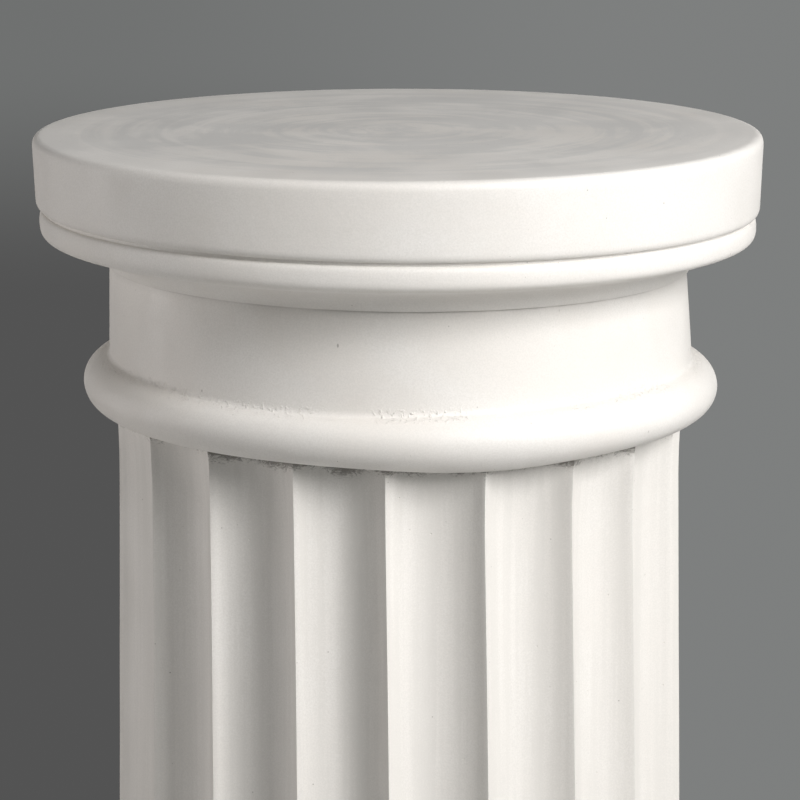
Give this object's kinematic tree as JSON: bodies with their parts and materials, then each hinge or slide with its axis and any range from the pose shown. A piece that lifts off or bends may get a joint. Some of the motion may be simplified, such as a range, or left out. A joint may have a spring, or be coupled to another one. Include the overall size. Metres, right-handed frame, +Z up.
{
  "type": "doric column pedestal",
  "caption": "White cast Doric column pedestal with a round abacus, a fluted tapering shaft and a round base.",
  "frame": {"origin": "centre of the underside, on the floor", "axes": "+Z up along the column's axis; the picture's view looks along +Y, with +X to the right"},
  "size_m": [0.368, 0.368, 1.05],
  "materials": {
    "plaster": "satin"
  },
  "bodies": {
    "root": {"column": "plaster"}
  },
  "joints": []
}
